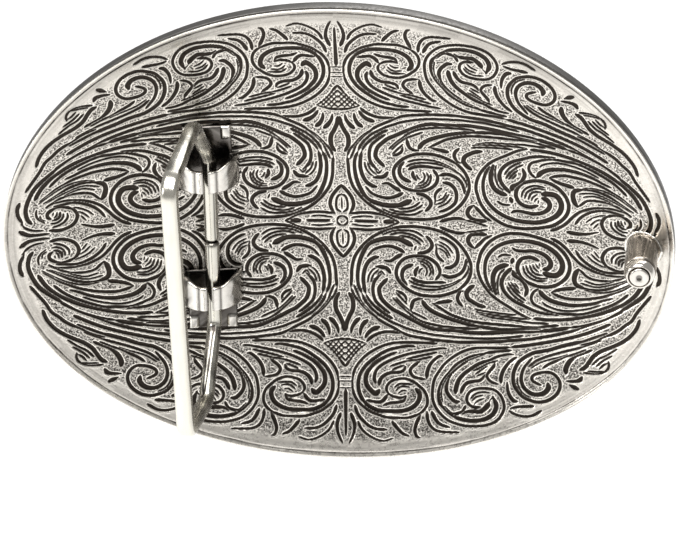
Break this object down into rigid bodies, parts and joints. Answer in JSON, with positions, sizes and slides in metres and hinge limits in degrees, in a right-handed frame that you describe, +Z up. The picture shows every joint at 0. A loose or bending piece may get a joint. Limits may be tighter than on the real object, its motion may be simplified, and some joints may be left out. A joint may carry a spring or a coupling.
{
  "type": "belt buckle",
  "caption": "Oval dished belt buckle with a scroll-embossed back, a swinging wire belt bail in two curled clips, and a belt stud.",
  "frame": {"origin": "middle of the back face, at the lowest point of its dish", "axes": "+Z up as worn, +X along the length towards the belt stud, the back with its bail and stud faces -Y and the show face +Y"},
  "size_m": [0.1084, 0.0371, 0.0818],
  "materials": {
    "antique_silver": "antiqued silver plate, satin with dark recesses",
    "polished_silver": "polished silver plate",
    "stud_metal": "turned, slightly darkened",
    "jewellers_bronze": "satin gold-coloured trim"
  },
  "bodies": {
    "buckle": {"back_plate": "antique_silver", "front_plate": "antique_silver", "hinge_clip_upper": "polished_silver", "hinge_clip_lower": "polished_silver", "stud_barrel": "stud_metal", "stud_pin": "polished_silver", "rope_border": "jewellers_bronze", "centre_plaque": "antique_silver", "plaque_rope": "jewellers_bronze", "rosette": "jewellers_bronze", "rosette_boss": "polished_silver", "corner_spray_ne": "jewellers_bronze", "corner_spray_nw": "jewellers_bronze", "corner_spray_sw": "jewellers_bronze", "corner_spray_se": "jewellers_bronze"},
    "bail": {"bail": "polished_silver"}
  },
  "joints": [
    {"name": "bail_hinge", "type": "hinge", "parent": "buckle", "child": "bail", "pos_m": [-0.0208, -0.0045, 0], "axis": [0, 0, 1], "range_deg": [-68, 98]}
  ]
}
